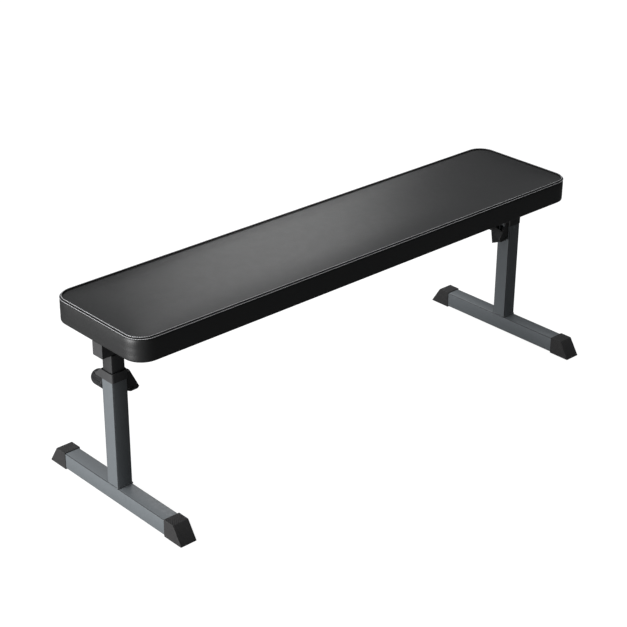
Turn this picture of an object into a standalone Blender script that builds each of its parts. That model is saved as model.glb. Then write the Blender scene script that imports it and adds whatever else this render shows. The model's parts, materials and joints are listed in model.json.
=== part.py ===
"""Flat weight bench with two telescopic T legs: a padded top on a steel frame whose two inner posts
slide in the leg uprights. Each leg has a spring lever that pulls a lock pin out of the post, and a
threaded clamp knob. Metres, +Z up, origin on the floor under the middle of the pad, X along the pad."""

import math

import bmesh
import bpy
from mathutils import Matrix, Vector

GAP = 0.0003  # air between solids that touch on the real bench

# Padded top
PAD_LENGTH = 1.149
PAD_WIDTH = 0.260
PAD_TOP = 0.392
PAD_THICKNESS = 0.049
PAD_CORNER = 0.039
PAD_EDGE = 0.005
WRAP = 0.0039  # cover and foam beside the board
BOARD_THICKNESS = 0.012
LINER_THICKNESS = 0.001
PAD_BOTTOM = PAD_TOP - PAD_THICKNESS
BOARD_BOTTOM = PAD_BOTTOM + LINER_THICKNESS + GAP
BOARD_TOP = BOARD_BOTTOM + BOARD_THICKNESS

# Square steel tube
TUBE = 0.0332
POST = 0.0290
WALL = 0.0015
TUBE_RADIUS = 0.0022
POST_RADIUS = 0.0020

# Legs
LEG_X = 0.535
FOOT_SOLE = 0.0015
FOOT_TUBE_END = 0.178
UPRIGHT_BOTTOM = FOOT_SOLE + TUBE + GAP
UPRIGHT_TOP = 0.2705
CAP_START = 0.154
CAP_TOP_END = 0.181
CAP_SOLE_END = 0.2035
CAP_WIDTH = 0.0356
CAP_HEIGHT = 0.0365

# Collar on top of each upright
COLLAR_BOTTOM = 0.2571
COLLAR_TOP = 0.2752
COLLAR = TUBE + 0.0026
RIM_WALL = 0.0013
RIM_DEPTH = 0.0030
HOOD_END = 0.034

# Inner posts and frame tube
POST_BOTTOM = 0.050
FRAME_BOTTOM = 0.3107
FRAME_TOP = FRAME_BOTTOM + POST
FRAME_END = 0.566
PLATE_THICKNESS = PAD_BOTTOM - GAP - (FRAME_TOP + GAP)
PLATE_X = 0.380
PLATE_SIZE = (0.040, 0.180)
BOLT_Y = 0.070

# Height setting
SETTINGS = 7
SETTING_PITCH = 0.01905
PIN_Z = 0.240
PIN_RADIUS = 0.0040
PIN_HOLE = PIN_RADIUS + GAP

# Lock lever, measured outwards from the upright's inner face
PIVOT_OUT = 0.0050
PIVOT_Z = 0.2690
PIVOT_RADIUS = 0.0015
LEVER_EYE = 0.0027
LEVER_NOSE_OUT = 0.0276
LEVER_BOTTOM = 0.2257
LIP_OUT = 0.0205
LIP_Z = 0.2140
WING = (0.0258, 0.2453)
RIM_FRONT = 0.2480
RIM_BACK = 0.2560
LEVER_WIDTH = 0.0278
LEVER_WALL = 0.0018
PEG_OUT = 0.0114
PEG_RADIUS = 0.0016
PEG_GAP = 0.0030
EAR_INNER = 0.0095
EAR_OUTER = LEVER_WIDTH / 2 - LEVER_WALL - GAP

# Clamp knob, on the upright's +Y face
KNOB_Z = 0.240
KNOB_RADIUS = 0.0158
KNOB_START = 0.0192
KNOB_CYLINDER_END = 0.047
FLUTES = 10
CLAMP_BOLT_RADIUS = 0.004

COLOURS = {
    "vinyl": ((0.022, 0.022, 0.024), 0.48, 0.0),
    "plywood": ((0.42, 0.28, 0.16), 0.70, 0.0),
    "liner": ((0.02, 0.02, 0.02), 0.90, 0.0),
    "silver_paint": ((0.30, 0.32, 0.34), 0.42, 0.6),
    "black_paint": ((0.025, 0.025, 0.027), 0.40, 0.3),
    "plastic": ((0.045, 0.045, 0.048), 0.50, 0.0),
    "black_plastic": ((0.012, 0.012, 0.013), 0.42, 0.0),
    "rubber": ((0.035, 0.035, 0.036), 0.80, 0.0),
    "zinc": ((0.60, 0.60, 0.58), 0.30, 1.0),
    "nylon": ((0.65, 0.64, 0.60), 0.55, 0.0),
}

# Local Z of an outline or a turned shape points along the named axis, and local Y stays up for X and Y.
AXES = {
    "X": Matrix(((0, 0, 1), (1, 0, 0), (0, 1, 0))),
    "Y": Matrix(((-1, 0, 0), (0, 0, 1), (0, 1, 0))),
    "Z": Matrix.Identity(3),
}

for old in list(bpy.data.objects):
    bpy.data.objects.remove(old, do_unlink=True)

PARTS = bpy.data.collections.new("weight_bench")
CUTTERS = bpy.data.collections.new("cutters")
for collection in (PARTS, CUTTERS):
    bpy.context.scene.collection.children.link(collection)


def material(name):
    """The Principled material of this name, made on first use."""
    found = bpy.data.materials.get(name)
    if found:
        return found
    colour, roughness, metallic = COLOURS[name]
    made = bpy.data.materials.new(name)
    made.use_nodes = True
    shader = made.node_tree.nodes["Principled BSDF"]
    shader.inputs["Base Color"].default_value = (*colour, 1.0)
    shader.inputs["Roughness"].default_value = roughness
    shader.inputs["Metallic"].default_value = metallic
    return made


def finish(obj, name, finish_name, location=(0, 0, 0), axis="Z"):
    """Names and places an object, and gives it its material and its collection."""
    obj.name = name
    obj.data.name = name
    obj.location = location
    obj.rotation_euler = AXES[axis].to_euler()
    obj.data.materials.append(material(finish_name))
    PARTS.objects.link(obj)
    return obj


def mesh_object(builder):
    """A new object from a function that fills a bmesh."""
    mesh = bpy.data.meshes.new("mesh")
    bm = bmesh.new()
    builder(bm)
    bmesh.ops.recalc_face_normals(bm, faces=bm.faces)
    bm.to_mesh(mesh)
    bm.free()
    return bpy.data.objects.new("mesh", mesh)


def rounded(width, height, radius, steps=4, centre=(0, 0)):
    """Corner points of a rectangle whose corners are arcs."""
    points = []
    for corner in range(4):
        sign_x = (1, -1, -1, 1)[corner]
        sign_y = (1, 1, -1, -1)[corner]
        for step in range(steps + 1):
            angle = math.radians(90) * (corner + step / steps)
            x = centre[0] + sign_x * (width / 2 - radius) + radius * math.cos(angle)
            y = centre[1] + sign_y * (height / 2 - radius) + radius * math.sin(angle)
            points.append((x, y))
    return points


def arc(centre, radius, start, end, steps):
    """Points along an arc, with angles in degrees from the first axis."""
    angles = [math.radians(start + (end - start) * step / steps) for step in range(steps + 1)]
    return [(centre[0] + radius * math.cos(a), centre[1] + radius * math.sin(a)) for a in angles]


def extruded(outlines, depth):
    """A closed mesh from flat outlines, where an outline inside another is a hole, centred on its depth."""
    curve = bpy.data.curves.new("outline", "CURVE")
    curve.dimensions = "2D"
    curve.fill_mode = "BOTH"
    curve.extrude = depth / 2
    for outline in outlines:
        spline = curve.splines.new("POLY")
        spline.points.add(len(outline) - 1)
        for point, (x, y) in zip(spline.points, outline):
            point.co = (x, y, 0, 1)
        spline.use_cyclic_u = True
    source = bpy.data.objects.new("outline", curve)
    PARTS.objects.link(source)
    graph = bpy.context.evaluated_depsgraph_get()
    mesh = bpy.data.meshes.new_from_object(source.evaluated_get(graph))
    bpy.data.objects.remove(source, do_unlink=True)
    bm = bmesh.new()
    bm.from_mesh(mesh)
    bmesh.ops.remove_doubles(bm, verts=bm.verts, dist=0.00001)
    bmesh.ops.recalc_face_normals(bm, faces=bm.faces)
    bm.to_mesh(mesh)
    bm.free()
    return bpy.data.objects.new("outline", mesh)


def turned(profile, segments, closed=False):
    """A turned shape about local Z. The profile is (radius, height) pairs, down the outer side."""
    mesh = bpy.data.meshes.new("profile")
    count = len(profile)
    edges = [(i, (i + 1) % count) for i in range(count if closed else count - 1)]
    mesh.from_pydata([(radius, 0, height) for radius, height in profile], edges, [])
    obj = bpy.data.objects.new("profile", mesh)
    screw = obj.modifiers.new("turn", "SCREW")
    screw.axis = "Z"
    screw.angle = math.radians(360)
    screw.steps = segments
    screw.render_steps = segments
    screw.use_merge_vertices = True
    screw.merge_threshold = 0.00001
    screw.use_smooth_shade = True
    return obj


def box(low, high):
    """A box object between two corners."""
    size = Vector(high) - Vector(low)
    middle = (Vector(high) + Vector(low)) / 2
    place = Matrix.Translation(middle) @ Matrix.Diagonal((*size, 1))
    return mesh_object(lambda bm: bmesh.ops.create_cube(bm, size=1, matrix=place))


def rods(places, radius, length, axis, sides=16):
    """Equal round bars, one at each place, as one mesh."""
    turn = AXES[axis].to_4x4()

    def build(bm):
        for place in places:
            bmesh.ops.create_cone(
                bm,
                cap_ends=True,
                segments=sides,
                radius1=radius,
                radius2=radius,
                depth=length,
                matrix=Matrix.Translation(place) @ turn,
            )

    return mesh_object(build)


def boolean(target, tool, operation="DIFFERENCE", location=(0, 0, 0), axis="Z"):
    """Cuts, joins or limits the target by a tool, which is kept as a hidden helper."""
    tool.name = target.name + "_" + operation.lower()
    tool.location = location
    tool.rotation_euler = AXES[axis].to_euler()
    tool.display_type = "WIRE"
    tool.hide_render = True
    CUTTERS.objects.link(tool)
    modifier = target.modifiers.new(tool.name, "BOOLEAN")
    modifier.operation = operation
    modifier.solver = "EXACT"
    modifier.object = tool
    return target


def square_tube(size, radius, length):
    """An open square tube along local Z, with rounded corners."""
    bore = size - 2 * WALL
    return extruded([rounded(size, size, radius, 3), rounded(bore, bore, radius - WALL, 3)], length)


def joint_empty(name, location):
    """An empty that marks a joint's place."""
    empty = bpy.data.objects.new(name, None)
    empty.location = location
    empty.empty_display_size = 0.02
    PARTS.objects.link(empty)
    return empty


def hang(obj, empty):
    """Parents an object to a joint's empty and keeps it where it is."""
    obj.parent = empty
    obj.matrix_parent_inverse = Matrix.Translation(empty.location).inverted()
    return obj


def padded_top(pad_joint):
    """Cushion, plywood board, dust liner and the tee nuts pressed into the board."""
    bolt_centres = [(sx * PLATE_X, sy * BOLT_Y) for sx in (-1, 1) for sy in (-1, 1)]
    inner = (PAD_LENGTH - 2 * WRAP, PAD_WIDTH - 2 * WRAP, PAD_CORNER - WRAP)
    cushion = extruded([rounded(PAD_LENGTH, PAD_WIDTH, PAD_CORNER, 7)], PAD_THICKNESS)
    weights = cushion.data.attributes.new("bevel_weight_edge", "FLOAT", "EDGE")
    for edge in cushion.data.edges:
        ends = [cushion.data.vertices[index].co.z for index in edge.vertices]
        weights.data[edge.index].value = 1.0 if min(ends) > 0 else 0.0
    finish(cushion, "cushion", "vinyl", (0, 0, PAD_BOTTOM + PAD_THICKNESS / 2))
    bevel = cushion.modifiers.new("soft_edge", "BEVEL")
    bevel.limit_method = "WEIGHT"
    bevel.width = PAD_EDGE
    bevel.segments = 2
    depth = BOARD_TOP + GAP - PAD_BOTTOM
    pocket = extruded([rounded(*inner, 7)], 2 * depth)
    boolean(cushion, pocket, location=(0, 0, PAD_BOTTOM))

    inside = tuple(size - 2 * GAP for size in inner[:2])
    radius = inner[2] - GAP
    board = extruded([rounded(*inside, radius, 6)], BOARD_THICKNESS)
    finish(board, "board", "plywood", (0, 0, BOARD_BOTTOM + BOARD_THICKNESS / 2))
    bolt_places = [(x, y, BOARD_BOTTOM) for x, y in bolt_centres]
    boolean(board, rods(bolt_places, 0.0050, 4 * BOARD_THICKNESS, "Z"))
    rims = [(x, y, BOARD_TOP) for x, y in bolt_centres]
    boolean(board, rods(rims, 0.0098, 0.0030, "Z", 20))
    liner = extruded([rounded(*inside, radius, 6)], LINER_THICKNESS)
    finish(liner, "dust_liner", "liner", (0, 0, PAD_BOTTOM + LINER_THICKNESS / 2))
    boolean(liner, rods(bolt_places, 0.0036, 4 * BOARD_THICKNESS, "Z", 12))

    top = BOARD_TOP - 0.0001
    flange = BOARD_TOP - 0.0012
    bottom = BOARD_BOTTOM + 0.002
    nut_profile = [(0.0033, top), (0.0093, top), (0.0093, flange), (0.0047, flange)]
    nut_profile += [(0.0047, bottom), (0.0033, bottom)]
    pieces = [cushion, board, liner]
    for index, (x, y) in enumerate(bolt_centres, 1):
        nut = turned(nut_profile, 16, closed=True)
        pieces.append(finish(nut, f"tee_nut_{index}", "zinc", (x, y, 0)))
        pieces.append(pad_bolt(f"pad_bolt_{index}", x, y))
    for piece in pieces:
        hang(piece, pad_joint)


def pad_bolt(name, x, y):
    """A flanged hexagon bolt that goes up through the plate into a tee nut."""
    flange_top = FRAME_TOP
    head_top = flange_top - 0.0012
    head_bottom = head_top - 0.0045
    tip = BOARD_TOP - 0.001
    shank = [(0, tip), (0.0024, tip), (0.0030, tip - 0.0006), (0.0030, flange_top)]
    shank += [(0.0068, flange_top), (0.0068, head_top), (0, head_top)]
    bolt = finish(turned(shank, 16), name, "zinc", (x, y, 0))
    hexagon = rods([(x, y, (head_top + head_bottom) / 2 + 0.0003)], 0.0058, 0.0051, "Z", 6)
    boolean(bolt, hexagon, "UNION")
    return bolt


def pad_frame(pad_joint):
    """The long tube under the pad, its end plugs and the two plates that the pad is bolted to."""
    middle = FRAME_BOTTOM + POST / 2
    tube = square_tube(POST, POST_RADIUS, 2 * FRAME_END)
    hang(finish(tube, "frame_tube", "black_paint", (0, 0, middle), "X"), pad_joint)
    for name, side in (("left", -1), ("right", 1)):
        start = side * (FRAME_END + GAP)
        outside = extruded([rounded(POST, POST, POST_RADIUS, 3)], 0.0020)
        plug = finish(outside, f"{name}_tube_plug", "plastic", (start + side * 0.0010, 0, middle), "X")
        inside = POST - 2 * WALL - 2 * GAP
        stem = extruded([rounded(inside, inside, 0.0012, 2)], 0.0130)
        boolean(plug, stem, "UNION", (start - side * 0.0055, 0, middle), "X")
        hang(plug, pad_joint)

        plate = extruded([rounded(*PLATE_SIZE, 0.006, 3)], PLATE_THICKNESS)
        place = (side * PLATE_X, 0, FRAME_TOP + GAP + PLATE_THICKNESS / 2)
        finish(plate, f"{name}_pad_plate", "black_paint", place)
        holes = [(side * PLATE_X, y, place[2]) for y in (-BOLT_Y, BOLT_Y)]
        boolean(plate, rods(holes, 0.0034, 0.02, "Z", 12))
        hang(plate, pad_joint)


def inner_post(name, x, inward, pad_joint):
    """The post that slides in the upright, with its row of pin holes, and the glide plug in its end."""
    top = FRAME_BOTTOM - GAP
    length = top - POST_BOTTOM
    tube = square_tube(POST, POST_RADIUS, length)
    post = finish(tube, f"{name}_inner_post", "black_paint", (x, 0, POST_BOTTOM + length / 2))
    wall = x + inward * (POST - WALL) / 2
    holes = [(wall, 0, PIN_Z - k * SETTING_PITCH) for k in range(SETTINGS)]
    boolean(post, rods(holes, PIN_HOLE, 0.008, "X", 12))
    hang(post, pad_joint)

    slide = TUBE - 2 * WALL - 2 * GAP
    flange = extruded([rounded(slide, slide, 0.0016, 2)], 0.0032)
    plug = finish(flange, f"{name}_glide_plug", "plastic", (x, 0, POST_BOTTOM - GAP - 0.0016))
    inside = POST - 2 * WALL - 2 * GAP
    stem = extruded([rounded(inside, inside, 0.0012, 2)], 0.012)
    boolean(plug, stem, "UNION", (x, 0, POST_BOTTOM + 0.0045))
    hang(plug, pad_joint)


def foot(name, x):
    """The tube that lies along the floor and the rubber cap on each end of it."""
    middle = FOOT_SOLE + TUBE / 2
    tube = square_tube(TUBE, TUBE_RADIUS, 2 * FOOT_TUBE_END)
    finish(tube, f"{name}_foot_tube", "silver_paint", (x, 0, middle), "Y")
    for end, side in (("front", -1), ("back", 1)):
        outline = [(CAP_START, 0), (CAP_SOLE_END - 0.0010, 0), (CAP_SOLE_END, 0.0009)]
        outline += [(CAP_TOP_END + 0.0003, CAP_HEIGHT - 0.0006), (CAP_TOP_END - 0.0007, CAP_HEIGHT)]
        outline += [(CAP_START, CAP_HEIGHT)]
        cap = extruded([[(side * y, z) for y, z in outline]], CAP_WIDTH)
        finish(cap, f"{name}_{end}_foot_cap", "rubber", (x, 0, 0), "X")
        hole = TUBE + 2 * GAP
        reach = FOOT_TUBE_END + GAP - CAP_START
        pocket = extruded([rounded(hole, hole, TUBE_RADIUS, 3)], 2 * reach)
        boolean(cap, pocket, location=(x, side * CAP_START, middle), axis="Y")


def upright(name, x, inward):
    """The outer post, with its pin hole and clamp hole, the pin's guide bush and the clamp's weld nut."""
    length = UPRIGHT_TOP - UPRIGHT_BOTTOM
    tube = square_tube(TUBE, TUBE_RADIUS, length)
    post = finish(tube, f"{name}_upright", "silver_paint", (x, 0, UPRIGHT_BOTTOM + length / 2))
    face = TUBE / 2
    boolean(post, rods([(x + inward * face, 0, PIN_Z)], PIN_HOLE, 0.008, "X"))
    boolean(post, rods([(x, face, KNOB_Z)], CLAMP_BOLT_RADIUS + GAP, 0.008, "Y"))

    ends = (GAP, 0.0075)
    wall = (PIN_HOLE, 0.0075)
    profile = [(wall[0], ends[1]), (wall[1] - 0.001, ends[1]), (wall[1], ends[1] - 0.001)]
    profile += [(wall[1], ends[0]), (wall[0], ends[0])]
    bush = turned([(radius, inward * out) for radius, out in profile][::inward], 24, closed=True)
    finish(bush, f"{name}_pin_bush", "zinc", (x + inward * face, 0, PIN_Z), "X")

    nut = rods([(0, 0, 0)], 0.0075, 0.0065, "Z", 6)
    place = (x, face + GAP + 0.00325, KNOB_Z)
    finish(nut, f"{name}_weld_nut", "silver_paint", place, "Y")
    boolean(nut, rods([place], CLAMP_BOLT_RADIUS + GAP, 0.02, "Y"))


def collar(name, x, inward):
    """The moulded sleeve on the upright's top: guide lip, hood over the knob, and the lever's two ears."""
    height = COLLAR_TOP - COLLAR_BOTTOM
    middle = (COLLAR_TOP + COLLAR_BOTTOM) / 2
    sleeve = extruded([rounded(COLLAR, COLLAR, 0.004, 4)], height)
    finish(sleeve, f"{name}_collar", "plastic", (x, 0, middle))
    side = COLLAR / 2
    root = side - 0.004
    hood = [(root, COLLAR_BOTTOM), (HOOD_END, COLLAR_BOTTOM), (HOOD_END, COLLAR_BOTTOM + 0.0025)]
    hood += [(HOOD_END - 0.0030, COLLAR_BOTTOM + 0.0060), (side + 0.0005, COLLAR_TOP - 0.0010)]
    hood += [(root, COLLAR_TOP - 0.0010)]
    boolean(sleeve, extruded([hood], COLLAR - 0.0006), "UNION", (x, 0, 0), "X")
    eye = (inward * PIVOT_OUT, PIVOT_Z)
    root = inward * 0.0005
    ear = [(root, COLLAR_BOTTOM + 0.0004), (eye[0], COLLAR_BOTTOM + 0.0004)]
    ear += arc(eye, inward * LEVER_EYE, 0, inward * 90, 4)
    ear += [(root, PIVOT_Z + LEVER_EYE)]
    face = x + inward * TUBE / 2
    for y in (-1, 1):
        lug = extruded([[(-px, pz) for px, pz in ear]], EAR_OUTER - EAR_INNER)
        boolean(sleeve, lug, "UNION", (face, y * (EAR_OUTER + EAR_INNER) / 2, 0), "Y")
    boolean(sleeve, rods([(face + eye[0], 0, PIVOT_Z)], PIVOT_RADIUS + GAP, 0.04, "Y", 12))
    skirt = TUBE + 2 * GAP
    depth = UPRIGHT_TOP + GAP - COLLAR_BOTTOM
    boolean(sleeve, extruded([rounded(skirt, skirt, TUBE_RADIUS, 3)], 2 * depth), location=(x, 0, COLLAR_BOTTOM))
    mouth = POST + 2 * GAP
    boolean(sleeve, extruded([rounded(mouth, mouth, POST_RADIUS, 3)], 0.06), location=(x, 0, COLLAR_TOP))
    recess = COLLAR - 2 * RIM_WALL
    boolean(sleeve, extruded([rounded(recess, recess, 0.0024, 3)], 2 * RIM_DEPTH), location=(x, 0, COLLAR_TOP))


def hull(points):
    """The convex solid round a set of points."""

    def build(bm):
        corners = [bm.verts.new(point) for point in points]
        made = bmesh.ops.convex_hull(bm, input=corners)
        spare = set(made["geom_interior"]) | set(made["geom_unused"])
        spare = [part for part in spare if isinstance(part, bmesh.types.BMVert)]
        bmesh.ops.delete(bm, geom=spare, context="VERTS")

    return mesh_object(build)


def between(inward, half_width, front, back):
    """The hull from an outline on a lever's -Y cheek to one on its +Y cheek, as (outwards, up) points."""
    points = [(inward * out, -half_width, z) for out, z in front]
    return hull(points + [(inward * out, half_width, z) for out, z in back])


def lock_lever(name, x, inward, lever_joint):
    """The scoop-shaped lever: two cheeks, a twisted outer wall that fingers pull, and two pull pegs."""
    face = x + inward * TUBE / 2
    slope = math.degrees(math.atan2(LEVER_NOSE_OUT - PIVOT_OUT, PIVOT_Z - LEVER_BOTTOM)) - 3
    round_eye = arc((PIVOT_OUT, PIVOT_Z), LEVER_EYE, slope, 180, 6)
    inner_corner = (0.0008, LEVER_BOTTOM + 0.0034)
    front = [inner_corner, (0.0082, LEVER_BOTTOM), (LEVER_NOSE_OUT - 0.0039, LEVER_BOTTOM + 0.0005)]
    front += [(LEVER_NOSE_OUT, LEVER_BOTTOM + 0.0042), *round_eye]
    back = [inner_corner, (LIP_OUT - 0.0020, LIP_Z), (LIP_OUT, LIP_Z), WING, *round_eye]
    lever = between(inward, LEVER_WIDTH / 2, front, back)
    finish(lever, f"{name}_lock_lever", "black_plastic", (face, 0, 0))

    wall = LEVER_WALL
    under = LIP_Z - 0.010
    over = PIVOT_Z + 0.010
    ceiling = [(PIVOT_OUT + LEVER_EYE - wall, PIVOT_Z), (PIVOT_OUT, over), (-0.004, over), (-0.004, under)]
    room_front = [(0.0200, under), (0.0212, LEVER_BOTTOM + 0.0005)]
    room_front += [(LEVER_NOSE_OUT - wall, LEVER_BOTTOM + 0.0050), *ceiling]
    room_back = [(LIP_OUT - wall - 0.0008, under), (LIP_OUT - wall, LIP_Z), (WING[0] - wall, WING[1])]
    room_back += ceiling
    inside = LEVER_WIDTH / 2 - wall
    hollow = between(inward, inside, room_front, room_back)
    boolean(lever, hollow, location=(face, 0, 0))
    rim = [(inside, RIM_BACK), (inside, over), (-inside, over), (-inside, RIM_FRONT)]
    boolean(lever, extruded([rim], 0.08), location=(face, 0, 0), axis="X")
    low = (face + inward * 0.0040, -0.03, LEVER_BOTTOM + 0.0048)
    high = (face + inward * 0.0145, 0, LEVER_BOTTOM + 0.0103)
    window = box([min(pair) for pair in zip(low, high)], [max(pair) for pair in zip(low, high)])
    boolean(lever, window)
    eye = (face + inward * PIVOT_OUT, 0, PIVOT_Z)
    boolean(lever, rods([eye], PIVOT_RADIUS + GAP, 0.06, "Y", 12))
    length = inside - PEG_GAP + 0.0008
    pegs = [(face + inward * PEG_OUT, y * (PEG_GAP + length / 2), PIN_Z) for y in (-1, 1)]
    boolean(lever, rods(pegs, PEG_RADIUS, length, "Y", 10), "UNION")
    hang(lever, lever_joint)


def lever_pivot(name, x, inward):
    """The pin that the lever turns on, and the torsion spring wound round it."""
    eye = (x + inward * (TUBE / 2 + PIVOT_OUT), 0, PIVOT_Z)
    pin = rods([(0, 0, 0)], PIVOT_RADIUS, LEVER_WIDTH - 0.0006, "Z", 12)
    finish(pin, f"{name}_pivot_pin", "zinc", eye, "Y")

    wire = 0.0004
    mean = 0.0022
    turns = 5
    per_turn = 8
    half = 0.0045
    points = []
    for step in range(turns * per_turn + 1):
        angle = 2 * math.pi * step / per_turn
        y = -half + 2 * half * step / (turns * per_turn)
        points.append((inward * mean * math.cos(angle), y, mean * math.sin(angle)))
    curve = bpy.data.curves.new("coil", "CURVE")
    curve.dimensions = "3D"
    curve.bevel_depth = wire
    curve.bevel_resolution = 0
    curve.use_fill_caps = True
    spline = curve.splines.new("POLY")
    foot_end = (inward * (mean + 0.0005), half, -0.010)
    tail_end = (inward * mean, -half, -0.010)
    route = [tail_end, *points, foot_end]
    spline.points.add(len(route) - 1)
    for point, place in zip(spline.points, route):
        point.co = (*place, 1)
    finish(bpy.data.objects.new("coil", curve), f"{name}_lever_spring", "zinc", eye)


def lock_pin(name, x, inward, pin_joint):
    """The stepped pin that the lever pulls: nose, neck and head."""
    profile = [(0, 0.0155), (0.0040, 0.0155), (0.0040, 0.0140), (0.0025, 0.0140), (0.0025, 0.0090)]
    profile += [(PIN_RADIUS, 0.0090), (PIN_RADIUS, -0.0046), (PIN_RADIUS - 0.001, -0.0056), (0, -0.0056)]
    pin = turned([(radius, inward * out) for radius, out in profile][::inward], 20)
    face = x + inward * TUBE / 2
    finish(pin, f"{name}_lock_pin", "zinc", (face, 0, PIN_Z), "X")
    hang(pin, pin_joint)


def clamp_knob(name, x, knob_joint, tip_joint):
    """The fluted knob, the bolt moulded into it and the nylon tip that bears on the inner post."""
    profile = [(0.0095, KNOB_START), (0.0095, 0.0262), (CLAMP_BOLT_RADIUS + GAP, 0.0262)]
    profile += [(CLAMP_BOLT_RADIUS + GAP, 0.0460), (0, 0.0460)]
    dome = arc((0, KNOB_CYLINDER_END), KNOB_RADIUS, 90, 0, 6)
    outer = [(0, KNOB_CYLINDER_END + KNOB_RADIUS), *dome[1:]]
    outer += [(KNOB_RADIUS, KNOB_START + 0.0012), (KNOB_RADIUS - 0.0012, KNOB_START)]
    knob = turned(outer + profile, 30)
    finish(knob, f"{name}_clamp_knob", "black_plastic", (x, 0, KNOB_Z), "Y")
    groove = KNOB_RADIUS + 0.0008
    angles = [2 * math.pi * (index + 0.5) / FLUTES for index in range(FLUTES)]
    places = [(x + groove * math.cos(a), 0.044, KNOB_Z + groove * math.sin(a)) for a in angles]
    boolean(knob, rods(places, 0.0031, 0.040, "Y", 8))
    hang(knob, knob_joint)

    bolt_start = POST / 2 + GAP + 0.0010 + GAP
    shape = [(0, 0.0457), (0.0034, 0.0457), (CLAMP_BOLT_RADIUS, 0.0450)]
    shape += [(CLAMP_BOLT_RADIUS, bolt_start + 0.0006), (0.0034, bolt_start), (0, bolt_start)]
    bolt = finish(turned(shape, 20), f"{name}_clamp_bolt", "zinc", (x, 0, KNOB_Z), "Y")
    hang(bolt, knob_joint)
    tip = rods([(0, 0, 0)], 0.0034, 0.0010, "Z", 16)
    finish(tip, f"{name}_clamp_tip", "nylon", (x, POST / 2 + GAP + 0.0005, KNOB_Z), "Y")
    hang(tip, tip_joint)


def leg(name, side, pad_joint):
    """One T leg with its lock and clamp, and the inner post that slides in it."""
    x = side * LEG_X
    inward = -side
    face = x + inward * TUBE / 2
    foot(name, x)
    upright(name, x, inward)
    collar(name, x, inward)
    lever_joint = joint_empty(f"{name}_lever_joint", (face + inward * PIVOT_OUT, 0, PIVOT_Z))
    lock_lever(name, x, inward, lever_joint)
    lever_pivot(name, x, inward)
    lock_pin(name, x, inward, joint_empty(f"{name}_pin_joint", (face, 0, PIN_Z)))
    tip_joint = joint_empty(f"{name}_tip_joint", (x, POST / 2, KNOB_Z))
    knob_joint = joint_empty(f"{name}_knob_joint", (x, TUBE / 2, KNOB_Z))
    clamp_knob(name, x, knob_joint, tip_joint)
    inner_post(name, x, inward, pad_joint)


height_joint = joint_empty("height_joint", (0, 0, FRAME_BOTTOM))
padded_top(height_joint)
pad_frame(height_joint)
leg("left", -1, height_joint)
leg("right", 1, height_joint)

for part in PARTS.objects:
    if part.type == "MESH":
        part.data.shade_smooth()
        part.data.set_sharp_from_angle(angle=math.radians(35))
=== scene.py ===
"""Looks of an adjustable weight bench: padded vinyl top, stitched seam, welds, staples and every material."""

import json
import math
import random

import bmesh
import bpy
import numpy as np
from mathutils import Matrix, Vector, noise


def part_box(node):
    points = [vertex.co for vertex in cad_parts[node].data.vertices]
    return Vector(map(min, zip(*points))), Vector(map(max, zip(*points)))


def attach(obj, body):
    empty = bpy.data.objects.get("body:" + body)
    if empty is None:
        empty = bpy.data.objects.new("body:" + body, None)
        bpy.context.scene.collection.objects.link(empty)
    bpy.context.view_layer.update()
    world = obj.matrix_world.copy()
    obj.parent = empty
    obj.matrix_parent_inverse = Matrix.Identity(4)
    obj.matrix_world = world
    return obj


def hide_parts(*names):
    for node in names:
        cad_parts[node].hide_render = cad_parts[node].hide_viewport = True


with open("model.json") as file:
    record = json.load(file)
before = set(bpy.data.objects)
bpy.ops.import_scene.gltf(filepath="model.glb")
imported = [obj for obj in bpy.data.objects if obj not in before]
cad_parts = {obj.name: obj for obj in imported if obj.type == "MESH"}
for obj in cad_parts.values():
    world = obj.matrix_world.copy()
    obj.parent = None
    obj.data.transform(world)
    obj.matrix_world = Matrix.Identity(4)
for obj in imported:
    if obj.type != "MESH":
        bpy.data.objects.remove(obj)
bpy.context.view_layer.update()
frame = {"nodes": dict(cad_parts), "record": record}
nodes = frame["nodes"]
scene = bpy.context.scene
scene.view_settings.view_transform = "Standard"
UP = Vector((0, 0, 1))

# Sizes in metres. Places come from the frame.
PAD_LOW, PAD_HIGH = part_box("cushion")
BOARD_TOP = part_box("board")[1].z
LINER_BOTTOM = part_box("dust_liner")[0].z
PAD_CORNER = 0.039
POCKET_INSET = 0.0039
POCKET_AIR = 0.0003

# Loops of the slack cover: points in a corner, across an end and along a side
CORNER_STEPS = 10
END_STEPS = 30
SIDE_STEPS = 150

# Top panel: its loops go from BORDER to PANEL, and it rises by CROWN over about ROLL
BORDER = 0.010
PANEL = 0.100
PANEL_LOOPS = 17
PANEL_CORNER = 0.009
PANEL_DEPTH = 0.0030
CROWN = 0.0032
ROLL = 0.014

# Side band
BAND_INSET = 0.0005
BAND_LOW = 0.006
BAND_DEPTH = 0.0105
BAND_LOOPS = 7

# Stuffing: the seam and the lower edge are held, and the rest swells by at most these
CLOTH_FRAMES = 20
CLOTH_PRESSURE = 4
SEAM_HOLD = 0.0045
EDGE_HOLD = 0.012
SIDE_REACH = 0.0010
TOP_REACH = 0.0021

# Seam and welts, each as (inset from the pad's side, depth below its top)
SEAM = (0.0030, 0.0036)
WELTS = ((0.0047, 0.0017), (0.0019, 0.0043))
WELT_RADIUS = 0.0014
THREAD_RADIUS = 0.0006
STITCH = 0.0036
STITCH_PITCH = 0.0041
STITCH_SHAPE = ((-0.5, 0.45), (-0.36, 0.9), (0.0, 1.0), (0.36, 0.9), (0.5, 0.45))  # (along, width)

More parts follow.
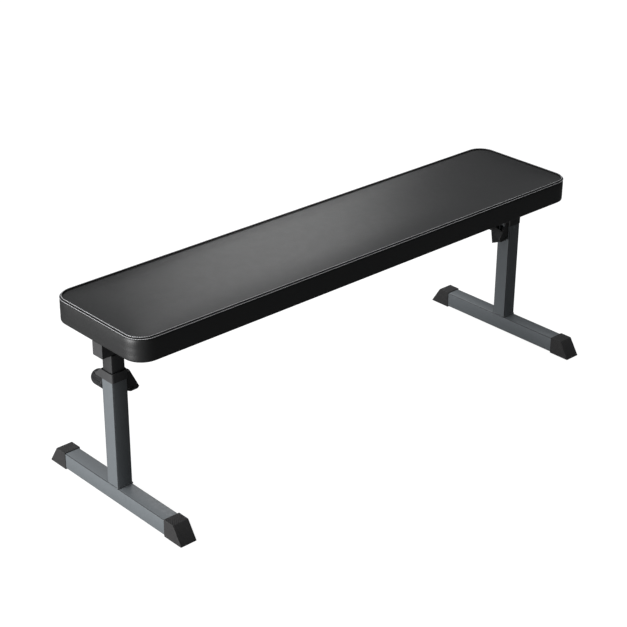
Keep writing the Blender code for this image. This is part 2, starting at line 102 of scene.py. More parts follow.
# Staples and weld beads
STAPLE_CROWN = 0.010
STAPLE_GAUGE = 0.0006
STAPLE_INSET = 0.010
STAPLE_PITCH = 0.046
TUBE_CORNER = 0.0022
POST_CORNER = 0.0020
FOOT_BEAD = 0.0017
POST_BEAD = 0.0015
PLATE_BEAD = 0.0016
BEAD_RIPPLE = 0.0024
BEAD_STEP = 0.0006


# --- Camera, floor and light

CAMERA_PLACE = (-2.01487, -2.13489, 1.65842)
CAMERA_YAW = math.radians(42.64738)
CAMERA_PITCH = math.radians(-26.2725)
CAMERA_ROLL = math.radians(0.35186)
CAMERA_LENS = 93.33
CAMERA_SENSOR = 36

KEY_STRENGTH = 1.7
KEY_SPREAD = math.radians(38)
KEY_DIRECTION = (1.0, -0.22, -0.62)
SOFTBOXES = (  # (name, place, target, size, watts)
    ("top_softbox", (0.60, 0.90, 0.98), (-0.10, 0, 0.39), (0.62, 0.55), 3.4),
    ("left_softbox", (-1.90, 0.15, 0.28), (0, 0, 0.17), (0.9, 0.5), 30),
)

# Sky: dim near the horizon, bright overhead, and dimmer in front of the bench than behind it
SKY_COLOUR = (0.97, 0.985, 1.0, 1)
SKY_RISE = (0.35, 0.9)
HORIZON_LIGHT = 0.03
ZENITH_LIGHT = 1.25
SKY_FRONT = (-0.7, 0.2)
FRONT_SHADE = 0.5
SEEN_SKY = 1.04

# Floor: pale where it is seen, and with little light thrown back on the bench
FLOOR_HALF = 25
FLOOR_PAINT = 0.9
FLOOR_GLOW = 0.85
GLOW_STRENGTH = 1.12
FLOOR_BOUNCE = 0.12


def camera():
    data = bpy.data.cameras.new("camera")
    data.lens = CAMERA_LENS
    data.sensor_width = CAMERA_SENSOR
    eye = bpy.data.objects.new("camera", data)
    scene.collection.objects.link(eye)
    turn = Matrix.Rotation(-CAMERA_YAW, 4, "Z") @ Matrix.Rotation(math.pi / 2 + CAMERA_PITCH, 4, "X")
    eye.matrix_world = Matrix.Translation(CAMERA_PLACE) @ turn @ Matrix.Rotation(CAMERA_ROLL, 4, "Z")
    scene.camera = eye


def facing(direction):
    """Turn of a lamp that shines along a direction."""
    return Vector(direction).to_track_quat("-Z", "Y").to_euler()


def key_light():
    sun = bpy.data.lights.new("key", "SUN")
    sun.energy = KEY_STRENGTH
    sun.angle = KEY_SPREAD
    key = bpy.data.objects.new("key", sun)
    key.rotation_euler = facing(KEY_DIRECTION)
    scene.collection.objects.link(key)


def softbox(name, place, target, size, watts):
    data = bpy.data.lights.new(name, "AREA")
    data.shape = "RECTANGLE"
    data.size, data.size_y = size
    data.energy = watts
    lamp = bpy.data.objects.new(name, data)
    lamp.location = place
    lamp.rotation_euler = facing(Vector(target) - Vector(place))
    lamp.visible_camera = False
    scene.collection.objects.link(lamp)


def map_range(tree, source, start, end, low, high):
    made = tree.nodes.new("ShaderNodeMapRange")
    for socket, value in (("From Min", start), ("From Max", end), ("To Min", low), ("To Max", high)):
        made.inputs[socket].default_value = value
    tree.links.new(source, made.inputs["Value"])
    return made.outputs["Result"]


def sky():
    world = bpy.data.worlds.new("studio")
    scene.world = world
    world.use_nodes = True
    tree = world.node_tree
    place = tree.nodes.new("ShaderNodeSeparateXYZ")
    tree.links.new(tree.nodes.new("ShaderNodeTexCoord").outputs["Generated"], place.inputs[0])
    rise = map_range(tree, place.outputs["Z"], *SKY_RISE, HORIZON_LIGHT, ZENITH_LIGHT)
    front = map_range(tree, place.outputs["Y"], *SKY_FRONT, FRONT_SHADE, 1.0)
    shaded = tree.nodes.new("ShaderNodeMath")
    shaded.operation = "MULTIPLY"
    tree.links.new(rise, shaded.inputs[0])
    tree.links.new(front, shaded.inputs[1])
    strength = tree.nodes.new("ShaderNodeMix")
    tree.links.new(tree.nodes.new("ShaderNodeLightPath").outputs["Is Camera Ray"], strength.inputs[0])
    tree.links.new(shaded.outputs[0], strength.inputs[2])
    strength.inputs[3].default_value = SEEN_SKY
    background = tree.nodes["Background"]
    tree.links.new(strength.outputs[0], background.inputs["Strength"])
    background.inputs["Color"].default_value = SKY_COLOUR


def diffuse(tree, level):
    made = tree.nodes.new("ShaderNodeBsdfDiffuse")
    made.inputs["Color"].default_value = (level, level, level, 1)
    return made.outputs[0]


def floor():
    corners = [(x * FLOOR_HALF, y * FLOOR_HALF, 0) for x, y in ((-1, -1), (1, -1), (1, 1), (-1, 1))]
    mesh = bpy.data.meshes.new("floor")
    mesh.from_pydata(corners, [], [(0, 1, 2, 3)])
    ground = bpy.data.objects.new("floor", mesh)
    scene.collection.objects.link(ground)
    material = bpy.data.materials.new("floor")
    material.use_nodes = True
    tree = material.node_tree
    tree.nodes.clear()
    glow = tree.nodes.new("ShaderNodeEmission")
    glow.inputs["Strength"].default_value = GLOW_STRENGTH
    pale = tree.nodes.new("ShaderNodeMixShader")
    pale.inputs[0].default_value = FLOOR_GLOW
    tree.links.new(diffuse(tree, FLOOR_PAINT), pale.inputs[1])
    tree.links.new(glow.outputs[0], pale.inputs[2])
    mix = tree.nodes.new("ShaderNodeMixShader")
    tree.links.new(tree.nodes.new("ShaderNodeLightPath").outputs["Is Camera Ray"], mix.inputs[0])
    tree.links.new(diffuse(tree, FLOOR_BOUNCE), mix.inputs[1])
    tree.links.new(pale.outputs[0], mix.inputs[2])
    out = tree.nodes.new("ShaderNodeOutputMaterial")
    tree.links.new(mix.outputs[0], out.inputs["Surface"])
    mesh.materials.append(material)


def studio():
    """Pale floor, an even pale sky, a soft key light from the bench's left and two softboxes."""
    key_light()
    for box in SOFTBOXES:
        softbox(*box)
    sky()
    floor()


# --- Materials

class Shader:
    """A Principled material whose colour, roughness and bump come from noise in the object's own metres."""

    def __init__(self, name, **values):
        self.material = bpy.data.materials.new(name)
        self.material.use_nodes = True
        self.tree = self.material.node_tree
        self.bsdf = self.tree.nodes["Principled BSDF"]
        for socket, value in values.items():
            self.bsdf.inputs[socket.replace("_", " ")].default_value = value
        self.place = self.tree.nodes.new("ShaderNodeTexCoord").outputs["Object"]
        self.normal = None

    def node(self, kind, links=(), **values):
        made = self.tree.nodes.new(kind)
        for key, value in values.items():
            if hasattr(made, key):
                setattr(made, key, value)
            else:
                made.inputs[key.replace("_", " ")].default_value = value
        for socket, source in dict(links).items():
            self.tree.links.new(source, made.inputs[socket])
        return made

    def stretched(self, scale=(1, 1, 1), turn=(0, 0, 0)):
        made = self.node("ShaderNodeMapping", {"Vector": self.place})
        made.inputs["Scale"].default_value = scale
        made.inputs["Rotation"].default_value = turn
        return made.outputs[0]

    def noise(self, scale, detail=2.0, place=None, roughness=0.5):
        made = self.node("ShaderNodeTexNoise", {"Vector": place or self.place}, Scale=scale, Detail=detail)
        made.inputs["Roughness"].default_value = roughness
        return made.outputs["Fac"]

    def cells(self, scale, feature="DISTANCE_TO_EDGE", place=None):
        links = {"Vector": place or self.place}
        made = self.node("ShaderNodeTexVoronoi", links, feature=feature, Scale=scale)
        return made.outputs["Distance"]

    def stripes(self, scale, place):
        return self.node("ShaderNodeTexWave", {"Vector": place}, Scale=scale).outputs["Fac"]

    def ramp(self, source, low, high, start=0.0, end=1.0):
        return map_range(self.tree, source, start, end, low, high)

    def colour(self, source, dark, light):
        made = self.node("ShaderNodeMix", {"Factor": source}, data_type="RGBA")
        made.inputs[6].default_value = (*dark, 1)
        made.inputs[7].default_value = (*light, 1)
        self.tree.links.new(made.outputs[2], self.bsdf.inputs["Base Color"])
        return self

    def roughness(self, source, low, high):
        self.tree.links.new(self.ramp(source, low, high, 0.3, 0.7), self.bsdf.inputs["Roughness"])
        return self

    def corners(self):
        """1 on rounded corners and 0 on flat faces, from the object's own normal: the mask for the painted
        corner shade.
        """
        normal = self.node("ShaderNodeTexCoord").outputs["Normal"]
        square = self.node("ShaderNodeVectorMath", {0: normal, 1: normal}, operation="MULTIPLY").outputs[0]
        flat = self.node("ShaderNodeVectorMath", {0: square, 1: square}, operation="DOT_PRODUCT")
        return self.ramp(flat.outputs["Value"], 1.0, 0.0, 0.55, 0.9)

    def paint_shade(self, source, colour):
        """Lays a darker second colour over the first where the source is 1, as painted shade."""
        socket = self.bsdf.inputs["Base Color"]
        links = {"Factor": source, 6: socket.links[0].from_socket}
        made = self.node("ShaderNodeMix", links, data_type="RGBA")
        made.inputs[7].default_value = (*colour, 1)
        self.tree.links.new(made.outputs[2], socket)
        return self

    def bump(self, height, depth, strength):
        links = {"Height": height}
        if self.normal:
            links["Normal"] = self.normal
        made = self.node("ShaderNodeBump", links, Strength=strength, Distance=depth)
        self.normal = made.outputs["Normal"]
        self.tree.links.new(self.normal, self.bsdf.inputs["Normal"])
        return self


def vinyl():
    """Black artificial leather: pebbled grain, soft gloss, slightly paler where it is handled."""
    made = Shader("vinyl", Specular_IOR_Level=0.42)
    warp = made.node("ShaderNodeTexNoise", {"Vector": made.place}, Scale=260.0, Detail=2.0)
    bent = made.node("ShaderNodeMix", {}, data_type="VECTOR")
    bent.inputs[0].default_value = 0.0016
    made.tree.links.new(made.place, bent.inputs[4])
    made.tree.links.new(warp.outputs["Color"], bent.inputs[5])
    grain = made.cells(820.0, place=bent.outputs[1])
    made.colour(made.noise(30.0, 4.0), (0.0112, 0.0114, 0.0117), (0.0128, 0.0130, 0.0133))
    made.roughness(made.noise(60.0, 3.0), 0.435, 0.465)
    made.bump(made.ramp(grain, 0.0, 1.0, 0.0, 0.28), 0.00006, 0.55)
    made.bump(made.noise(2600.0, 2.0), 0.00002, 0.5)
    return made.material


def powder_coat(name, dark, light, low, high, metallic):
    """Baked powder paint: fine orange peel, a faint sparkle, small changes of gloss, and painted shade on its
    rounded corners in place of the dark reflections there.
    """
    made = Shader(name, Metallic=metallic, Specular_IOR_Level=0.5)
    made.colour(made.noise(1900.0, 3.0), dark, light)
    # Painted shade: rounded corners get a quarter of the paint's dark colour, standing in for the dark
    # reflections there.
    made.paint_shade(made.corners(), [0.25 * value for value in dark])
    made.roughness(made.noise(120.0, 4.0), low, high)
    made.bump(made.noise(620.0, 2.0), 0.00005, 0.5)
    made.bump(made.noise(2400.0, 1.0), 0.00001, 0.4)
    return made.material


def moulded(name, dark, light, low, high):
    """Moulded plastic with the fine spark-eroded texture of its mould."""
    made = Shader(name, Specular_IOR_Level=0.45)
    made.colour(made.noise(210.0, 4.0), dark, light)
    made.roughness(made.noise(300.0, 3.0), low, high)
    made.bump(made.cells(1500.0, "F1"), 0.00004, 0.4)
    made.bump(made.noise(3200.0, 2.0), 0.00002, 0.4)
    return made.material


def foot_rubber(name):
    """Dark grey rubber with the fine slanting lines of its mould and a little dust."""
    made = Shader(name, Specular_IOR_Level=0.35)
    slanted = made.stretched(turn=(math.radians(45), 0, math.radians(45)))
    made.colour(made.noise(160.0, 5.0), (0.015, 0.015, 0.016), (0.030, 0.029, 0.029))
    made.roughness(made.noise(200.0, 3.0), 0.58, 0.74)
    made.bump(made.stripes(105.0, slanted), 0.0003, 0.9)
    made.bump(made.noise(1800.0, 3.0), 0.00004, 0.5)
    return made.material


def zinc(name):
    """Zinc-plated steel with drawn, slightly uneven streaks."""
    made = Shader(name, Metallic=1.0)
    streaks = made.stretched((300, 300, 2600))
    made.colour(made.noise(1.0, 3.0, streaks), (0.42, 0.42, 0.41), (0.66, 0.66, 0.64))
    made.roughness(made.noise(180.0, 3.0), 0.28, 0.42)
    made.bump(made.noise(1.0, 2.0, streaks), 0.00002, 0.4)
    return made.material


def nylon(name):
    made = Shader(name, Specular_IOR_Level=0.4, Subsurface_Weight=0.2)
    made.bsdf.inputs["Subsurface Scale"].default_value = 0.002
    made.colour(made.noise(300.0, 3.0), (0.60, 0.59, 0.54), (0.72, 0.71, 0.67))
    made.roughness(made.noise(400.0, 2.0), 0.45, 0.55)
    made.bump(made.noise(1500.0, 2.0), 0.00003, 0.4)
    return made.material


def plywood(name):
    """Rotary-cut face grain along the board and thin plies at its edges."""
    made = Shader(name, Specular_IOR_Level=0.25)
    grain = made.noise(1.0, 5.0, made.stretched((9, 150, 900)), 0.6)
    made.colour(grain, (0.28, 0.17, 0.09), (0.58, 0.42, 0.26))
    made.roughness(grain, 0.62, 0.78)
    made.bump(grain, 0.0002, 0.5)
    return made.material


def liner_cloth(name):
    """Black spun-bonded cloth: short random fibres and a grid of pressed points."""
    made = Shader(name, Specular_IOR_Level=0.2)
    fibres = made.noise(900.0, 5.0, roughness=0.8)
    made.colour(fibres, (0.008, 0.008, 0.008), (0.045, 0.045, 0.046))
    made.roughness(fibres, 0.80, 0.95)
    made.bump(made.cells(700.0, "F1"), 0.0001, 0.5)
    made.bump(fibres, 0.0001, 0.6)
    return made.material


def sewing_thread(name):
    """Pale grey bonded thread, its plies twisted round each other."""
    made = Shader(name, Specular_IOR_Level=0.5)
    twist = made.stripes(620.0, made.stretched(turn=(0.6, 0.5, 0.8)))
    made.colour(twist, (0.30, 0.30, 0.31), (0.62, 0.62, 0.63))
    made.roughness(made.noise(700.0, 2.0), 0.42, 0.6)
    made.bump(twist, 0.00012, 0.8)
    return made.material


SLOTS = {
    "vinyl_cushion": vinyl(),
    "plywood": plywood("plywood"),
    "liner_fabric": liner_cloth("liner_cloth"),
    "silver_powder_coat": powder_coat(
        "silver_powder_coat", (0.105, 0.116, 0.124), (0.150, 0.163, 0.173), 0.34, 0.46, 0.15
    ),
    "black_powder_coat": powder_coat(
        "black_powder_coat", (0.019, 0.019, 0.020), (0.031, 0.031, 0.032), 0.38, 0.48, 0.0
    ),
    "grey_plastic": moulded("grey_plastic", (0.028, 0.028, 0.029), (0.042, 0.042, 0.043), 0.48, 0.60),
    "black_plastic": moulded("black_plastic", (0.009, 0.009, 0.010), (0.016, 0.016, 0.017), 0.34, 0.46),
    "foot_rubber": foot_rubber("foot_rubber"),
    "zinc_steel": zinc("zinc_steel"),
    "nylon": nylon("nylon"),
}


# --- CAD nodes keep their shape, and get soft edges and finished materials

EDGE_ANGLE = math.radians(32)
FLAT_ANGLE = math.radians(0.5)
MERGE_DISTANCE = 0.00001
EDGE_WIDTHS = {
    "foot_rubber": 0.0009,
    "black_plastic": 0.0004,
    "grey_plastic": 0.0005,
    "zinc_steel": 0.0002,
    "silver_powder_coat": 0.0003,
    "black_powder_coat": 0.0003,
}


def shading_group():
    """Joins the triangles, forgets their flat normals and shades every face smooth."""
    group = bpy.data.node_groups.new("joined_smooth", "GeometryNodeTree")
    group.interface.new_socket("Geometry", in_out="INPUT", socket_type="NodeSocketGeometry")
    group.interface.new_socket("Geometry", in_out="OUTPUT", socket_type="NodeSocketGeometry")
    add = group.nodes.new
    start, end = add("NodeGroupInput"), add("NodeGroupOutput")
    merge = add("GeometryNodeMergeByDistance")
    merge.inputs["Distance"].default_value = MERGE_DISTANCE
    forget = add("GeometryNodeRemoveAttribute")
    forget.inputs["Name"].default_value = "custom_normal"
    smooth = add("GeometryNodeSetShadeSmooth")
    group.links.new(start.outputs[0], forget.inputs["Geometry"])
    group.links.new(forget.outputs["Geometry"], merge.inputs["Geometry"])
    group.links.new(merge.outputs["Geometry"], smooth.inputs["Geometry"])
    group.links.new(smooth.outputs["Geometry"], end.inputs[0])
    return group


def finish_nodes():
    group = shading_group()
    for row in frame["record"]["subparts"]:
        node, slot = nodes[row["node"]], row["material_slot"]
        for holder in node.material_slots:
            holder.material = SLOTS[slot]
        node.modifiers.new("joined", "NODES").node_group = group
        flat = node.modifiers.new("flat_faces", "DECIMATE")
        flat.decimate_type = "DISSOLVE"
        flat.angle_limit = FLAT_ANGLE
        if slot in EDGE_WIDTHS:
            edges = node.modifiers.new("soft_edges", "BEVEL")
            edges.width = EDGE_WIDTHS[slot]
            edges.segments = 2
            edges.limit_method = "ANGLE"
            edges.angle_limit = EDGE_ANGLE
            edges.harden_normals = True


# --- Shared mesh makers

def piece(name, rings, faces, body, material):
    mesh = bpy.data.meshes.new(name)
    mesh.from_pydata([tuple(point) for ring in rings for point in ring], [], faces)
    mesh.validate()
    mesh.shade_smooth()
    made = bpy.data.objects.new(name, mesh)
    scene.collection.objects.link(made)
    mesh.materials.append(material)
    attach(made, body)
    return made


def plan(inset, spacing, corner_steps):
    """Closed path round the pad at an inset from its sides, as (point, outward direction) pairs."""
    half = Vector((PAD_HIGH.x - inset, PAD_HIGH.y - inset))
    radius = PAD_CORNER - inset
    corners = []
    for quarter, (sx, sy) in enumerate(((1, 1), (-1, 1), (-1, -1), (1, -1))):
        centre = Vector((sx * (half.x - radius), sy * (half.y - radius)))
        turns = [math.pi / 2 * (quarter + step / corner_steps) for step in range(corner_steps + 1)]
        corners.append([(centre + radius * Vector((math.cos(t), math.sin(t))), t) for t in turns])
    rows = []
    for index, corner in enumerate(corners):
        rows += [(point, Vector((math.cos(t), math.sin(t)))) for point, t in corner]
        start, end = corner[-1][0], corners[(index + 1) % 4][0][0]
        count = max(1, round((end - start).length / spacing))
        out = rows[-1][1]
        rows += [(start.lerp(end, step / count), out) for step in range(1, count)]
    return rows


def skin(rings, closed_along, caps=False):
    """Faces that join equal rings of points."""
    count, sides = len(rings), len(rings[0])
    faces = []
    for ring in range(count if closed_along else count - 1):
        here, there = ring * sides, (ring + 1) % count * sides
        for side in range(sides):
            other = (side + 1) % sides
            faces.append((here + side, here + other, there + other, there + side))
    if caps:
        faces.append(tuple(range(sides))[::-1])
        faces.append(tuple(range((count - 1) * sides, count * sides)))
    return faces


def swept(path, radii, sides, closed=True):
    """Rings of a round section along a path of points, upright where the path is level."""
    rings = []
    count = len(path)
    for index, point in enumerate(path):
        after = path[(index + 1) % count if closed else min(index + 1, count - 1)]
        before = path[index - 1 if closed or index else 0]
        along = (after - before).normalized()
        side = along.cross(UP)
        if side.length < 0.1:
            side = along.cross(Vector((1, 0, 0)))
        side.normalize()
        up = side.cross(along)
        turns = [math.tau * step / sides for step in range(sides)]
        rings.append([point + radii[index] * (math.cos(t) * side + math.sin(t) * up) for t in turns])
    return rings


# --- The padded top

def loop(inset, height):
    """One loop of the cover, with the same number of points whatever its inset."""
    radius = np.interp(inset, (0, BORDER, PANEL), (PAD_CORNER, PAD_CORNER - BORDER, PANEL_CORNER))
    core = np.array(PAD_HIGH[:2]) - inset - radius
    signs = np.array(((1, 1), (-1, 1), (-1, -1), (1, -1)))
    parts = []
    for quarter in range(4):
        turns = math.pi / 2 * (quarter + np.arange(CORNER_STEPS + 1) / CORNER_STEPS)
        around = radius * np.column_stack([np.cos(turns), np.sin(turns)])
        start, end = core * signs[quarter] + around[-1], core * signs[(quarter + 1) % 4] + around[-1]
        steps = (SIDE_STEPS, END_STEPS)[quarter % 2]
        share = np.arange(1, steps)[:, None] / steps
        parts += [core * signs[quarter] + around, start * (1 - share) + end * share]
    flat = np.vstack(parts)
    return np.column_stack([flat, np.full(len(flat), height)])


def cover_loops():
    """Loops of the slack cover, from the underside round the band and the seam to the top panel."""
    low, high = PAD_LOW.z, PAD_HIGH.z
    # (inset, height): lower edge, band, seam and panel
    profile = [(POCKET_INSET, low), (0.0024, low), (0.0011, low + 0.0006), (BAND_INSET, low + 0.0020)]
    profile += [(BAND_INSET, z) for z in np.linspace(low + BAND_LOW, high - BAND_DEPTH, BAND_LOOPS)]
    profile += [(0.0008, high - 0.0070), (SEAM[0], high - SEAM[1]), (0.0062, high - 0.0036)]
    for inset in np.linspace(BORDER, PANEL, PANEL_LOOPS):
        profile.append((inset, high - PANEL_DEPTH + CROWN * (1 - math.exp(-(inset - BORDER) / ROLL))))
    return [loop(inset, z) for inset, z in profile]


def panel_middle(ring, first):
    """An even grid inside the last loop: its points, and faces that join it to that loop."""
    count = len(ring)
    half = CORNER_STEPS // 2
    wide, deep = SIDE_STEPS + CORNER_STEPS, END_STEPS + CORNER_STEPS
    top = [half + i for i in range(wide + 1)]
    bottom = [(half - deep - i) % count for i in range(wide + 1)]
    right = [(half - j) % count for j in range(deep + 1)]
    left = [half + wide + j for j in range(deep + 1)]
    u = np.linspace(0, 1, wide + 1)[None, :, None]
    v = np.linspace(0, 1, deep + 1)[:, None, None]
    sides = (1 - v) * ring[top][None] + v * ring[bottom][None]
    sides = sides + (1 - u) * ring[right][:, None] + u * ring[left][:, None]
    corners = (1 - u) * (1 - v) * ring[top[0]] + u * (1 - v) * ring[top[-1]]
    corners = corners + (1 - u) * v * ring[bottom[0]] + u * v * ring[bottom[-1]]
    places = sides - corners
    index = np.empty((deep + 1, wide + 1), int)
    index[1:-1, 1:-1] = first + count + np.arange((deep - 1) * (wide - 1)).reshape(deep - 1, wide - 1)
    index[0], index[-1] = np.array(top) + first, np.array(bottom) + first
    index[:, 0], index[:, -1] = np.array(right) + first, np.array(left) + first
    faces = np.stack([index[:-1, :-1], index[:-1, 1:], index[1:, 1:], index[1:, :-1]], axis=-1)
    return places[1:-1, 1:-1].reshape(-1, 3), faces.reshape(-1, 4)


def stuffed():
    """The cover as a mesh of loops, blown up by cloth simulation between its seam and its board."""
    rings = cover_loops()
    count = len(rings[0])
    middle, middle_faces = panel_middle(rings[-1], (len(rings) - 1) * count)
    mesh = bpy.data.meshes.new("cover_start")
    faces = skin(rings, False) + [tuple(int(corner) for corner in face) for face in middle_faces]
    mesh.from_pydata(np.vstack([*rings, middle]).tolist(), [], faces)
    cover = bpy.data.objects.new("cover_start", mesh)
    scene.collection.objects.link(cover)
    start, normals = vertex_rows(cover, "co"), vertex_rows(cover, "normal")

    held = np.clip(1.6 - seam_distance(start) / SEAM_HOLD, 0, 1)
    held = np.maximum(held, np.clip(1 - (start[:, 2] - PAD_LOW.z - 0.003) / EDGE_HOLD, 0, 1))
    group = cover.vertex_groups.new(name="held")
    for index, weight in enumerate(held):
        group.add([index], float(weight), "REPLACE")
    cloth = cover.modifiers.new("cloth", "CLOTH").settings
    cloth.quality = 5
    cloth.use_pressure = True
    cloth.uniform_pressure_force = CLOTH_PRESSURE
    cloth.vertex_group_mass = "held"
    cloth.effector_weights.gravity = 0
    cover.modifiers["cloth"].point_cache.frame_end = CLOTH_FRAMES
    for step in range(1, CLOTH_FRAMES + 1):
        scene.frame_set(step)
    bake(cover)
    scene.frame_set(1)
    moved = vertex_rows(cover, "co") - start
    reach = SIDE_REACH + TOP_REACH * np.clip(normals[:, 2], 0, 1)
    length = np.linalg.norm(moved, axis=1)
    allowed = reach * np.tanh(length / reach) / np.maximum(length, 1e-9)
    move_vertices(cover, start + moved * allowed[:, None])
    return cover


def vertex_rows(made, field):
    """The vertices' coordinates or normals, as rows of three."""
    flat = np.empty(len(made.data.vertices) * 3)
    made.data.vertices.foreach_get(field, flat)
    return flat.reshape(-1, 3)


def move_vertices(made, points):
    made.data.vertices.foreach_set("co", points.astype(np.float32).ravel())
    made.data.update()


def bake(made):
    """Applies every modifier by taking the mesh they give."""
    shown = made.evaluated_get(bpy.context.evaluated_depsgraph_get())
    mesh = bpy.data.meshes.new_from_object(shown)
    made.modifiers.clear()
    made.data = mesh


def inset_of(points):
    """How far inside the pad's outline each point is."""
    core = np.array([PAD_HIGH.x - PAD_CORNER, PAD_HIGH.y - PAD_CORNER])
    beyond = np.abs(points[:, :2]) - core
    outside = np.hypot(*np.maximum(beyond, 0).T)
    inside = np.minimum(beyond.max(axis=1), 0)
    return PAD_CORNER - outside - inside


def seam_distance(points):
    return np.hypot(inset_of(points) - SEAM[0], PAD_HIGH.z - points[:, 2] - SEAM[1])


def creases(cover):
    """Small pulls beside the seam, tight folds along the side band and a barely uneven top."""
    points, normals = vertex_rows(cover, "co"), vertex_rows(cover, "normal")
    to_seam = seam_distance(points)
    on_side = PAD_HIGH.z - points[:, 2] > 0.006
    corner = np.min(np.abs(points[:, :2]) - np.array(PAD_HIGH[:2]) + 0.07, axis=1)
    corner = np.clip(corner / 0.05, 0, 1)
    lift = np.zeros(len(points))
    for index, (x, y, z) in enumerate(points):
        pulls = noise.noise((x * 95, y * 95, z * 18)) * math.exp(-to_seam[index] / 0.006)
        folds = noise.noise((x * 9, y * 9, z * 210)) if on_side[index] else 0.0
        swell = 0.0 if on_side[index] else noise.noise((x * 8, y * 11, 3.0))
        lift[index] = (0.00022 + 0.00030 * corner[index]) * pulls + 0.00020 * folds + 0.00012 * swell
    keep = np.clip((points[:, 2] - PAD_LOW.z - 0.001) / 0.006, 0, 1)
    move_vertices(cover, points + normals * (lift * keep)[:, None])


def add_pocket(cover):
    """Walls and ceiling of the hollow that the board sits in."""
    bm = bmesh.new()
    bm.from_mesh(cover.data)
    edges = [edge for edge in bm.edges if edge.is_boundary]
    walls = bmesh.ops.extrude_edge_only(bm, edges=edges)["geom"]
    raised = [part for part in walls if isinstance(part, bmesh.types.BMVert)]
    for vertex in raised:
        vertex.co.z = BOARD_TOP + POCKET_AIR
    bmesh.ops.holes_fill(bm, edges=[edge for edge in bm.edges if edge.is_boundary])
    bmesh.ops.recalc_face_normals(bm, faces=bm.faces)
    bm.to_mesh(cover.data)
    bm.free()


def cushion():
    """The padded top: stuffed, smoothed, creased, and hollow below where the board sits."""
    cover = stuffed()
    cover.modifiers.new("fine", "SUBSURF").levels = 1
    bake(cover)
    creases(cover)
    add_pocket(cover)
    cover.data.shade_smooth()
    cover.data.set_sharp_from_angle(angle=math.radians(50))
    cover.data.materials.clear()
    cover.data.materials.append(SLOTS["vinyl_cushion"])
    cover.name = "padded_cover"
    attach(cover, "pad_frame")
    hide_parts("cushion")


def seam_line(inset, depth):
    """A sewn line round the pad that wanders a little."""
    line = []
    for point, _ in plan(inset, 0.004, 24):
        wander = 0.00012 * noise.noise((point.x * 30, point.y * 30, depth * 400))
        line.append(Vector((*point, PAD_HIGH.z - depth + wander)))
    return line


def welts():
    """Two rolled edges of the cover, one each side of the seam, each with a row of top stitching."""
    thread = sewing_thread("sewing_thread")
    for name, (inset, depth), out in (("upper", WELTS[0], 0.45), ("lower", WELTS[1], 1.0)):
        line = seam_line(inset, depth)
        radii = [WELT_RADIUS * (1 + 0.06 * noise.noise((p.x * 160, p.y * 160, 1.7))) for p in line]
        rings = swept(line, radii, 10)
        piece(f"{name}_welt", rings, skin(rings, True), "pad_frame", SLOTS["vinyl_cushion"])
        stitches(f"{name}_stitching", line, out, thread)


def add_rod(rods, faces, rings):
    """Adds a capped rod to a mesh that is made of many."""
    base = sum(map(len, rods))
    faces += [tuple(base + corner for corner in face) for face in skin(rings, False, caps=True)]
    rods += rings


def stitches(name, line, out, thread):
    """A row of short threads lying on a welt."""
    closed = line + line[:1]
    steps = [(b - a).length for a, b in zip(closed, closed[1:])]
    total = sum(steps)
    count = round(total / STITCH_PITCH)
    threads, faces = [], []
    starts = np.concatenate([[0], np.cumsum(steps)])
    table = np.array([tuple(point) for point in closed])

    def at(distance):
        wrapped = distance % total
        return Vector([np.interp(wrapped, starts, table[:, axis]) for axis in range(3)])

    lean = random.Random(7)
    for index in range(count):
        middle = total * index / count
        tilt = 0.00012 * lean.uniform(0.5, 1.5)
        centre_line, radii = [], []
        for along, width in STITCH_SHAPE:
            point = at(middle + along * STITCH)
            ahead = (at(middle + along * STITCH + 0.001) - point).normalized()
            side = ahead.cross(UP)
            rise = (UP + out * side).normalized()
            centre_line.append(point + rise * (WELT_RADIUS * 0.92) + side * tilt * along * 2)
            radii.append(THREAD_RADIUS * width)
        add_rod(threads, faces, swept(centre_line, radii, 6, closed=False))
    piece(name, threads, faces, "pad_frame", thread)


# --- Staples, welds and other small things

def staples():
    """Wire staples that hold the dust liner to the board, in a row inside its edge."""
    jitter = random.Random(11)
    rise = STAPLE_GAUGE * UP
    wires, faces = [], []
    for centre, out in plan(POCKET_INSET + STAPLE_INSET, STAPLE_PITCH, 3):
        turned = Vector((-out.y, out.x)) + out * jitter.uniform(-0.2, 0.2)
        along = Vector((*turned.normalized(), 0)) * STAPLE_CROWN / 2
        base = Vector((*centre, LINER_BOTTOM))
        path = [base - along + rise, base - along * 0.94, base + along * 0.94, base + along + rise]
        add_rod(wires, faces, swept(path, [STAPLE_GAUGE] * 4, 8, closed=False))
    piece("liner_staples", wires, faces, "pad_frame", SLOTS["zinc_steel"])


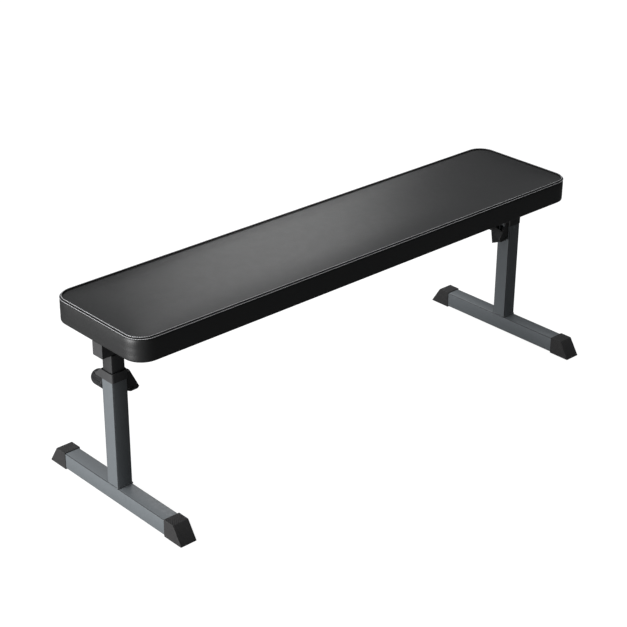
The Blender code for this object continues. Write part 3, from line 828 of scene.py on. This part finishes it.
def bead(name, path, radius, body, slot, closed=True):
    """A weld bead: overlapping ripples along a path, covered by the same paint."""
    fine = []
    count = len(path)
    for index in range(count if closed else count - 1):
        start, end = path[index], path[(index + 1) % count]
        parts = max(1, round((end - start).length / BEAD_STEP))
        fine += [start.lerp(end, step / parts) for step in range(parts)]
    radii, travelled = [], 0.0
    for index, point in enumerate(fine):
        travelled += (point - fine[index - 1]).length if index else 0.0
        wave = abs(math.sin(math.pi * travelled / BEAD_RIPPLE))
        radii.append(radius * (0.86 + 0.16 * wave + 0.10 * noise.noise(point * 300)))
    rings = swept(fine, radii, 10, closed)
    piece(name, rings, skin(rings, closed, caps=not closed), body, SLOTS[slot])


def square_loop(centre, size, corner, height):
    """Level path round a square tube."""
    half, steps = size / 2 - corner, 5
    path = []
    for quarter, (sx, sy) in enumerate(((1, 1), (-1, 1), (-1, -1), (1, -1))):
        for step in range(steps + 1):
            turn = math.pi / 2 * (quarter + step / steps)
            x = centre[0] + sx * half + corner * math.cos(turn)
            y = centre[1] + sy * half + corner * math.sin(turn)
            path.append(Vector((x, y, height)))
    return path


def welds():
    """Beads round each leg's foot, round the posts' upper ends and along the pad plates."""
    tube_low, tube_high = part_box("frame_tube")
    for name in ("left", "right"):
        low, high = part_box(f"{name}_upright")
        centre = ((low.x + high.x) / 2, 0)
        foot_line = square_loop(centre, high.x - low.x, TUBE_CORNER, low.z + 0.0003)
        bead(f"{name}_foot_weld", foot_line, FOOT_BEAD, "legs", "silver_powder_coat")
        low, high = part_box(f"{name}_inner_post")
        post_line = square_loop(centre, high.x - low.x, POST_CORNER, high.z - 0.0002)
        bead(f"{name}_post_weld", post_line, POST_BEAD, "pad_frame", "black_powder_coat")
        plate_low, plate_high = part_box(f"{name}_pad_plate")
        for label, y in (("front", tube_low.y), ("back", tube_high.y)):
            across = (plate_low.x + 0.005, plate_high.x - 0.005)
            ends = [Vector((x, y + math.copysign(0.0002, y), plate_low.z - 0.0012)) for x in across]
            plate_weld = f"{name}_{label}_plate_weld"
            bead(plate_weld, ends, PLATE_BEAD, "pad_frame", "black_powder_coat", closed=False)


camera()
studio()
finish_nodes()
cushion()
welts()
staples()
welds()
